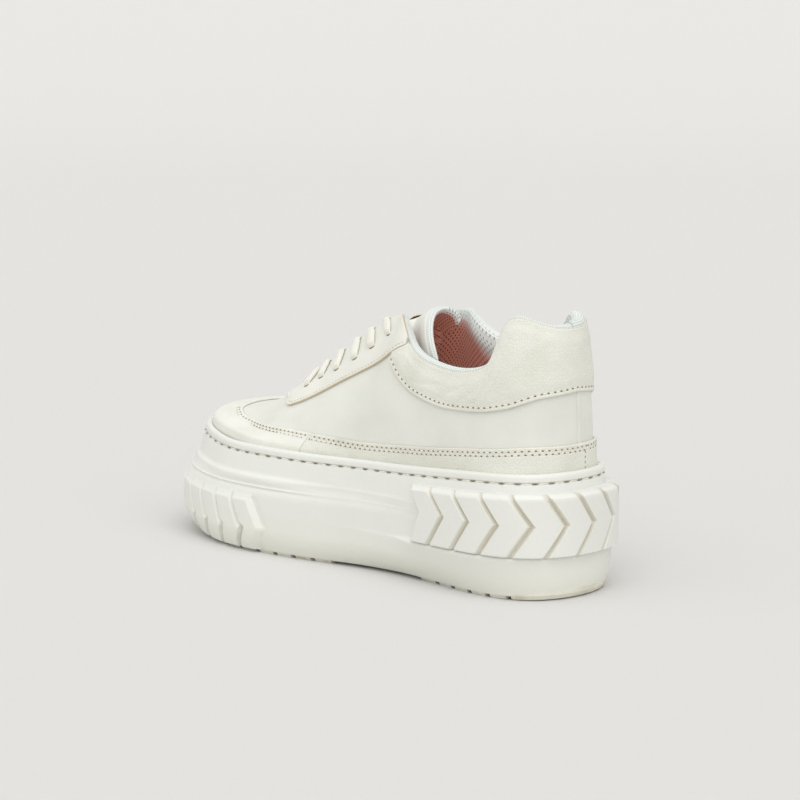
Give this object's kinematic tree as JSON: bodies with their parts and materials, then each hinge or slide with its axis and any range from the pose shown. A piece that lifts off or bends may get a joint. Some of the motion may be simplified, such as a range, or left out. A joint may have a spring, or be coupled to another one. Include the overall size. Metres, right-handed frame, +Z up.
{
  "type": "platform sneaker",
  "caption": "Low leather sneaker for the left foot on a tall platform cup sole, with overlays, bar lacing, padded collar and a heel band of V-shaped plates.",
  "frame": {"origin": "middle of the sole's footprint on the floor, at the bottom centre of the bounding box", "axes": "+X to the toe, +Y to the outer (lateral) side, +Z up"},
  "size_m": [0.288, 0.111, 0.14],
  "materials": {
    "outsole_rubber": "matt",
    "sole_foam": "matt",
    "upper_leather": "smooth, satin",
    "overlay_leather": "tumbled, satin",
    "lining_fabric": "mesh",
    "lace_cotton": "woven",
    "badge_plastic": "gloss"
  },
  "bodies": {
    "root": {"outsole": "outsole_rubber", "midsole": "sole_foam", "heel_wrap": "sole_foam", "upper": "upper_leather", "insole": "lining_fabric", "toe_cap": "overlay_leather", "mudguard_lateral": "overlay_leather", "mudguard_medial": "overlay_leather", "collar_panel": "overlay_leather", "eyestay": "overlay_leather", "tongue": "upper_leather", "tongue_badge": "badge_plastic", "lace_bar_1": "lace_cotton", "lace_bar_2": "lace_cotton", "lace_bar_3": "lace_cotton", "lace_bar_4": "lace_cotton", "lace_bar_5": "lace_cotton", "lace_bar_6": "lace_cotton"}
  },
  "joints": []
}
